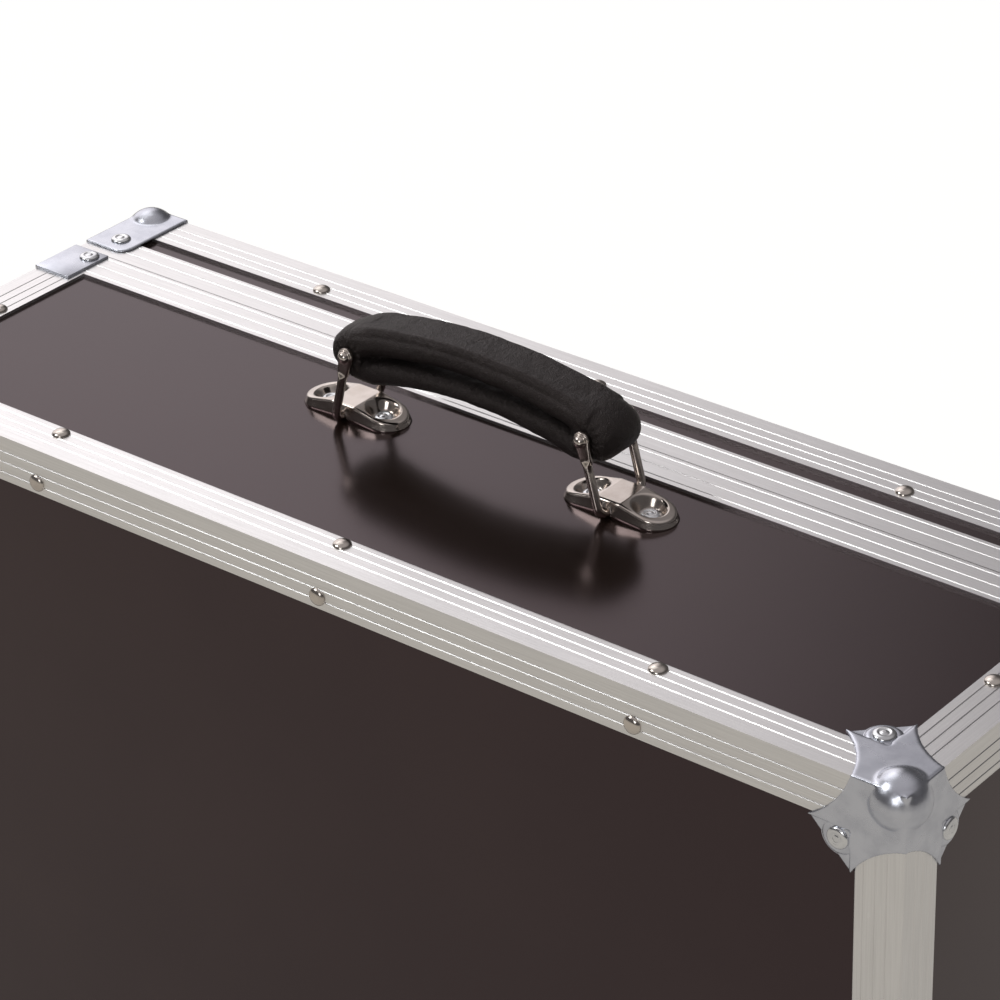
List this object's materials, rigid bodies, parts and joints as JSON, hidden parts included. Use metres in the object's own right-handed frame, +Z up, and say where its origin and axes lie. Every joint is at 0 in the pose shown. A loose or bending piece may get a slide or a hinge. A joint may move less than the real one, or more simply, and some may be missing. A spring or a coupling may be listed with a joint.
{
  "type": "carrying case",
  "caption": "Plywood instrument case with ribbed aluminium edging, ball corners, a leather grip on wire bows, a side-hinged lid and recessed turn latches.",
  "frame": {"origin": "on the floor, under the middle of the case", "axes": "+X along the handle towards the latches, -Y towards the base's outer face, +Y towards the lid's outer face, +Z up through the handle"},
  "size_m": [0.5744, 0.2118, 0.4215],
  "materials": {
    "laminate": "dark brown textured laminate on plywood, satin",
    "aluminium": "clear anodised, satin, with fine ribs",
    "corner_steel": "zinc plated, semi-gloss",
    "rivet_steel": "nickel plated, gloss",
    "handle_steel": "nickel plated, gloss",
    "latch_steel": "zinc plated, semi-gloss",
    "leather": "black-brown, grained, semi-gloss",
    "rubber": "black, matt",
    "foam": "charcoal foam, matt"
  },
  "bodies": {
    "base": {"base_face_panel": "laminate", "base_top_panel": "laminate", "base_foot_panel": "laminate", "base_hinge_panel": "laminate", "base_latch_panel": "laminate", "base_top_angle": "aluminium", "base_foot_angle": "aluminium", "base_hinge_angle": "aluminium", "base_latch_angle": "aluminium", "base_corner_angles": "aluminium", "base_top_profile": "aluminium", "base_foot_profile": "aluminium", "base_hinge_profile": "aluminium", "base_latch_profile": "aluminium", "base_ball_corners": "corner_steel", "base_corner_braces": "corner_steel", "base_rivets": "rivet_steel", "base_blind_rivets": "rivet_steel", "handle_plate_left": "handle_steel", "handle_plate_right": "handle_steel", "handle_plate_rivets": "rivet_steel", "hinge_base_leaves": "latch_steel", "hinge_pins": "latch_steel", "latch_dish_low": "latch_steel", "latch_dish_high": "latch_steel", "rubber_feet": "rubber", "base_lining": "foam"},
    "lid": {"lid_face_panel": "laminate", "lid_top_panel": "laminate", "lid_foot_panel": "laminate", "lid_hinge_panel": "laminate", "lid_latch_panel": "laminate", "lid_top_angle": "aluminium", "lid_foot_angle": "aluminium", "lid_hinge_angle": "aluminium", "lid_latch_angle": "aluminium", "lid_corner_angles": "aluminium", "lid_top_profile": "aluminium", "lid_foot_profile": "aluminium", "lid_hinge_profile": "aluminium", "lid_latch_profile": "aluminium", "lid_ball_corners": "corner_steel", "lid_rivets": "rivet_steel", "lid_blind_rivets": "rivet_steel", "hinge_lid_leaves": "latch_steel", "keeper_dish_low": "latch_steel", "keeper_dish_high": "latch_steel", "lid_lining": "foam"},
    "bow_left": {"handle_bow_left": "handle_steel", "handle_pin_left": "handle_steel"},
    "bow_right": {"handle_bow_right": "handle_steel", "handle_pin_right": "handle_steel"},
    "grip": {"handle_grip": "leather"},
    "drum_low": {"latch_drum_low": "latch_steel"},
    "hook_low": {"latch_hook_low": "latch_steel"},
    "wing_low": {"latch_wing_low": "latch_steel"},
    "drum_high": {"latch_drum_high": "latch_steel"},
    "hook_high": {"latch_hook_high": "latch_steel"},
    "wing_high": {"latch_wing_high": "latch_steel"}
  },
  "joints": [
    {"name": "lid_hinge", "type": "hinge", "parent": "base", "child": "lid", "pos_m": [-0.2846, 0.0522, 0.188], "axis": [0, 0, 1], "range_deg": [0, 170]},
    {"name": "bow_left_lean", "type": "hinge", "parent": "base", "child": "bow_left", "pos_m": [-0.0711, 0.0079, 0.3688], "axis": [0, 1, 0], "range_deg": [-20, 20]},
    {"name": "bow_right_lean", "type": "hinge", "parent": "base", "child": "bow_right", "pos_m": [0.0711, 0.0079, 0.3688], "axis": [0, 1, 0], "range_deg": [-20, 20]},
    {"name": "grip_pivot", "type": "hinge", "parent": "bow_left", "child": "grip", "pos_m": [-0.0628, 0.0079, 0.4016], "axis": [0, 1, 0], "range_deg": [-22.6, 22.6]},
    {"name": "drum_turn_low", "type": "hinge", "parent": "base", "child": "drum_low", "pos_m": [0.2772, 0.0282, 0.093], "axis": [1, 0, 0], "range_deg": [0, 180]},
    {"name": "hook_draw_low", "type": "slide", "parent": "base", "child": "hook_low", "axis": [-0.7071, -0.7071, 0], "range_m": [0, 0.00566]},
    {"name": "wing_fold_low", "type": "hinge", "parent": "drum_low", "child": "wing_low", "pos_m": [0.2837, 0.0282, 0.093], "axis": [0, 0, -1], "range_deg": [0, 90]},
    {"name": "drum_turn_high", "type": "hinge", "parent": "base", "child": "drum_high", "pos_m": [0.2772, 0.0282, 0.283], "axis": [1, 0, 0], "range_deg": [0, 180]},
    {"name": "hook_draw_high", "type": "slide", "parent": "base", "child": "hook_high", "axis": [-0.7071, -0.7071, 0], "range_m": [0, 0.00566]},
    {"name": "wing_fold_high", "type": "hinge", "parent": "drum_high", "child": "wing_high", "pos_m": [0.2837, 0.0282, 0.283], "axis": [0, 0, -1], "range_deg": [0, 90]}
  ],
  "couplings": [
    {"joint": "bow_right_lean", "follows": "bow_left_lean", "ratio": 1},
    {"joint": "grip_pivot", "follows": "bow_left_lean", "ratio": -1.1284},
    {"joint": "hook_draw_low", "follows": "drum_turn_low", "m_per_rad": 0.0018006},
    {"joint": "hook_draw_high", "follows": "drum_turn_high", "m_per_rad": 0.0018006}
  ]
}
